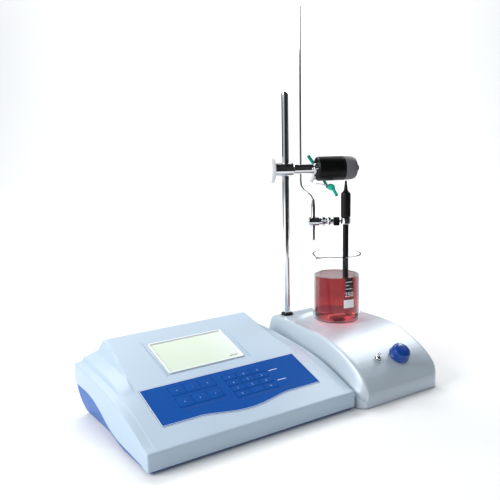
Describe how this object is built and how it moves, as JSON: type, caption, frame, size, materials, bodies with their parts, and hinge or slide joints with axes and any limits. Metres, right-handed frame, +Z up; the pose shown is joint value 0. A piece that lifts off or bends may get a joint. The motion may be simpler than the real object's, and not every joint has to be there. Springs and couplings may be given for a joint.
{
  "type": "ph meter",
  "caption": "Benchtop pH meter with a magnetic stirrer, upright stand with pinch valve arm, electrode holder and beaker.",
  "frame": {"origin": "on the bench, under the middle of the whole set's bounding box", "axes": "+X along the meter's front edge towards the stirrer, +Y from the front to the sockets at the back, +Z up"},
  "size_m": [0.4366, 0.2318, 0.5269],
  "materials": {
    "shell_grey": "fine texture",
    "shell_blue": "satin",
    "pad_blue": "satin",
    "frame_white": "satin",
    "lcd_green": "glossy",
    "stirrer_silver": "satin metallic paint",
    "chrome": "polished",
    "steel": "plain",
    "black_plastic": "satin",
    "grey_cap": "satin",
    "rubber": "matt",
    "knob_blue": "glossy",
    "knob_white": "satin",
    "teal": "glossy",
    "glass": "clear",
    "liquid_red": "clear liquid",
    "ptfe": "smooth"
  },
  "bodies": {
    "base": {"base_shell": "shell_blue", "display_frame": "frame_white", "electrode_socket": "steel", "keypad_overlay": "pad_blue", "lcd_panel": "lcd_green", "meter_foot_back_left": "rubber", "meter_foot_back_right": "rubber", "meter_foot_front_left": "rubber", "meter_foot_front_right": "rubber", "power_socket": "black_plastic", "probe_socket": "black_plastic", "rod_collar": "black_plastic", "stir_motor": "steel", "stirrer_base_plate": "steel", "stirrer_housing": "stirrer_silver", "toggle_bush": "chrome", "top_cover": "shell_grey"},
    "stand": {"stand_rod": "chrome"},
    "arm": {"clamp_arm": "chrome", "valve_body": "black_plastic", "valve_end_cap": "grey_cap", "spout": "knob_white", "glass_tube": "glass", "stopcock_body": "teal"},
    "arm_screw": {"clamp_knob": "knob_white"},
    "valve_adjuster": {"valve_screw": "black_plastic"},
    "plunger": {"valve_plunger": "chrome"},
    "stopcock": {"stopcock_key": "teal"},
    "bent_rod": {"rod_sleeve": "chrome"},
    "holder": {"cross_clamp": "chrome", "electrode_ring": "chrome"},
    "holder_nut": {"clamp_nut": "black_plastic"},
    "electrode": {"electrode_cap": "black_plastic", "electrode_body": "black_plastic"},
    "beaker": {"beaker": "glass", "sample_liquid": "liquid_red"},
    "stir_bar": {"stir_bar": "ptfe"},
    "rotor": {"magnet_rotor": "steel"},
    "speed_knob": {"stir_knob": "knob_blue"},
    "toggle": {"toggle_lever": "chrome"},
    "rocker": {"power_rocker": "black_plastic"},
    "key_01_body": {"key_01": "pad_blue"},
    "key_02_body": {"key_02": "pad_blue"},
    "key_03_body": {"key_03": "pad_blue"},
    "key_04_body": {"key_04": "pad_blue"},
    "key_05_body": {"key_05": "pad_blue"},
    "key_06_body": {"key_06": "pad_blue"},
    "key_07_body": {"key_07": "pad_blue"},
    "key_08_body": {"key_08": "pad_blue"},
    "key_09_body": {"key_09": "pad_blue"},
    "key_10_body": {"key_10": "pad_blue"},
    "key_11_body": {"key_11": "pad_blue"},
    "key_12_body": {"key_12": "pad_blue"},
    "key_13_body": {"key_13": "pad_blue"},
    "key_14_body": {"key_14": "pad_blue"},
    "key_15_body": {"key_15": "pad_blue"},
    "key_16_body": {"key_16": "pad_blue"},
    "key_17_body": {"key_17": "pad_blue"},
    "key_18_body": {"key_18": "pad_blue"}
  },
  "joints": [
    {"name": "arm_swing", "type": "hinge", "parent": "base", "child": "stand", "pos_m": [0.10695, 0.08315, 0], "axis": [0, 0, 1], "range_deg": [-15, 10]},
    {"name": "arm_height", "type": "slide", "parent": "stand", "child": "arm", "axis": [0, 0, 1], "range_m": [-0.008, 0.09]},
    {"name": "arm_screw_turn", "type": "hinge", "parent": "arm", "child": "arm_screw", "pos_m": [0.09142, 0.09007, 0.2965], "axis": [0.9135, -0.4067, 0], "range_deg": [0, 270]},
    {"name": "valve_adjust", "type": "hinge", "parent": "arm", "child": "valve_adjuster", "pos_m": [0.19831, 0.04248, 0.2965], "axis": [0.9135, -0.4067, 0], "range_deg": [0, 270]},
    {"name": "valve_plunger_slide", "type": "slide", "parent": "arm", "child": "plunger", "axis": [0.9135, -0.4067, 0], "range_m": [0, 0.0025], "stiffness_N_per_m": 300, "springref_m": -0.0005},
    {"name": "stopcock_turn", "type": "hinge", "parent": "arm", "child": "stopcock", "pos_m": [0.16998, 0.05509, 0.2689], "axis": [0.4067, 0.9135, 0], "range_deg": [0, 90]},
    {"name": "bent_rod_height", "type": "slide", "parent": "arm", "child": "bent_rod", "axis": [0, 0, 1], "range_m": [-0.006, 0.008]},
    {"name": "holder_swing", "type": "hinge", "parent": "bent_rod", "child": "holder", "pos_m": [0.13525, 0.05455, 0.2206], "axis": [0, 0, -1], "range_deg": [-2, 12]},
    {"name": "holder_nut_turn", "type": "hinge", "parent": "holder", "child": "holder_nut", "pos_m": [0.13525, 0.05455, 0.2206], "axis": [0.779, -0.627, 0], "range_deg": [0, 180]},
    {"name": "electrode_lift", "type": "slide", "parent": "holder", "child": "electrode", "axis": [0, 0, 1], "range_m": [0, 0.03]},
    {"name": "beaker_lift", "type": "slide", "parent": "base", "child": "beaker", "axis": [0, 0, 1], "range_m": [0, 0.012], "deforming": ["sample_liquid"]},
    {"name": "stir_bar_spin", "type": "hinge", "parent": "beaker", "child": "stir_bar", "pos_m": [0.15835, 0.02895, 0], "axis": [0, 0, 1], "continuous": true},
    {"name": "rotor_spin", "type": "hinge", "parent": "base", "child": "rotor", "pos_m": [0.15835, 0.02895, 0], "axis": [0, 0, 1], "continuous": true},
    {"name": "speed_knob_turn", "type": "hinge", "parent": "base", "child": "speed_knob", "pos_m": [0.16375, -0.09135, 0.0479], "axis": [0, 0.5446, -0.8387], "range_deg": [0, 270]},
    {"name": "toggle_throw", "type": "hinge", "parent": "base", "child": "toggle", "pos_m": [0.12775, -0.0889, 0.05074], "axis": [1, 0, 0], "range_deg": [0, 22]},
    {"name": "rocker_throw", "type": "hinge", "parent": "base", "child": "rocker", "pos_m": [0.00975, 0.10485, 0.024], "axis": [1, 0, 0], "range_deg": [-12, 0]},
    {"name": "key_01_press", "type": "slide", "parent": "base", "child": "key_01_body", "axis": [0, 0.3459, -0.9383], "range_m": [0, 0.0006], "stiffness_N_per_m": 800, "springref_m": -0.0001},
    {"name": "key_02_press", "type": "slide", "parent": "base", "child": "key_02_body", "axis": [0, 0.3459, -0.9383], "range_m": [0, 0.0006], "stiffness_N_per_m": 800, "springref_m": -0.0001},
    {"name": "key_03_press", "type": "slide", "parent": "base", "child": "key_03_body", "axis": [0, 0.3459, -0.9383], "range_m": [0, 0.0006], "stiffness_N_per_m": 800, "springref_m": -0.0001},
    {"name": "key_04_press", "type": "slide", "parent": "base", "child": "key_04_body", "axis": [0, 0.3459, -0.9383], "range_m": [0, 0.0006], "stiffness_N_per_m": 800, "springref_m": -0.0001},
    {"name": "key_05_press", "type": "slide", "parent": "base", "child": "key_05_body", "axis": [0, 0.3459, -0.9383], "range_m": [0, 0.0006], "stiffness_N_per_m": 800, "springref_m": -0.0001},
    {"name": "key_06_press", "type": "slide", "parent": "base", "child": "key_06_body", "axis": [0, 0.3459, -0.9383], "range_m": [0, 0.0006], "stiffness_N_per_m": 800, "springref_m": -0.0001},
    {"name": "key_07_press", "type": "slide", "parent": "base", "child": "key_07_body", "axis": [0, 0.3459, -0.9383], "range_m": [0, 0.0006], "stiffness_N_per_m": 800, "springref_m": -0.0001},
    {"name": "key_08_press", "type": "slide", "parent": "base", "child": "key_08_body", "axis": [0, 0.3459, -0.9383], "range_m": [0, 0.0006], "stiffness_N_per_m": 800, "springref_m": -0.0001},
    {"name": "key_09_press", "type": "slide", "parent": "base", "child": "key_09_body", "axis": [0, 0.3459, -0.9383], "range_m": [0, 0.0006], "stiffness_N_per_m": 800, "springref_m": -0.0001},
    {"name": "key_10_press", "type": "slide", "parent": "base", "child": "key_10_body", "axis": [0, 0.3459, -0.9383], "range_m": [0, 0.0006], "stiffness_N_per_m": 800, "springref_m": -0.0001},
    {"name": "key_11_press", "type": "slide", "parent": "base", "child": "key_11_body", "axis": [0, 0.3459, -0.9383], "range_m": [0, 0.0006], "stiffness_N_per_m": 800, "springref_m": -0.0001},
    {"name": "key_12_press", "type": "slide", "parent": "base", "child": "key_12_body", "axis": [0, 0.3459, -0.9383], "range_m": [0, 0.0006], "stiffness_N_per_m": 800, "springref_m": -0.0001},
    {"name": "key_13_press", "type": "slide", "parent": "base", "child": "key_13_body", "axis": [0, 0.3459, -0.9383], "range_m": [0, 0.0006], "stiffness_N_per_m": 800, "springref_m": -0.0001},
    {"name": "key_14_press", "type": "slide", "parent": "base", "child": "key_14_body", "axis": [0, 0.3459, -0.9383], "range_m": [0, 0.0006], "stiffness_N_per_m": 800, "springref_m": -0.0001},
    {"name": "key_15_press", "type": "slide", "parent": "base", "child": "key_15_body", "axis": [0, 0.3459, -0.9383], "range_m": [0, 0.0006], "stiffness_N_per_m": 800, "springref_m": -0.0001},
    {"name": "key_16_press", "type": "slide", "parent": "base", "child": "key_16_body", "axis": [0, 0.3459, -0.9383], "range_m": [0, 0.0006], "stiffness_N_per_m": 800, "springref_m": -0.0001},
    {"name": "key_17_press", "type": "slide", "parent": "base", "child": "key_17_body", "axis": [0, 0.3459, -0.9383], "range_m": [0, 0.0006], "stiffness_N_per_m": 800, "springref_m": -0.0001},
    {"name": "key_18_press", "type": "slide", "parent": "base", "child": "key_18_body", "axis": [0, 0.3459, -0.9383], "range_m": [0, 0.0006], "stiffness_N_per_m": 800, "springref_m": -0.0001}
  ],
  "couplings": [
    {"joint": "stir_bar_spin", "follows": "rotor_spin", "ratio": 1}
  ]
}
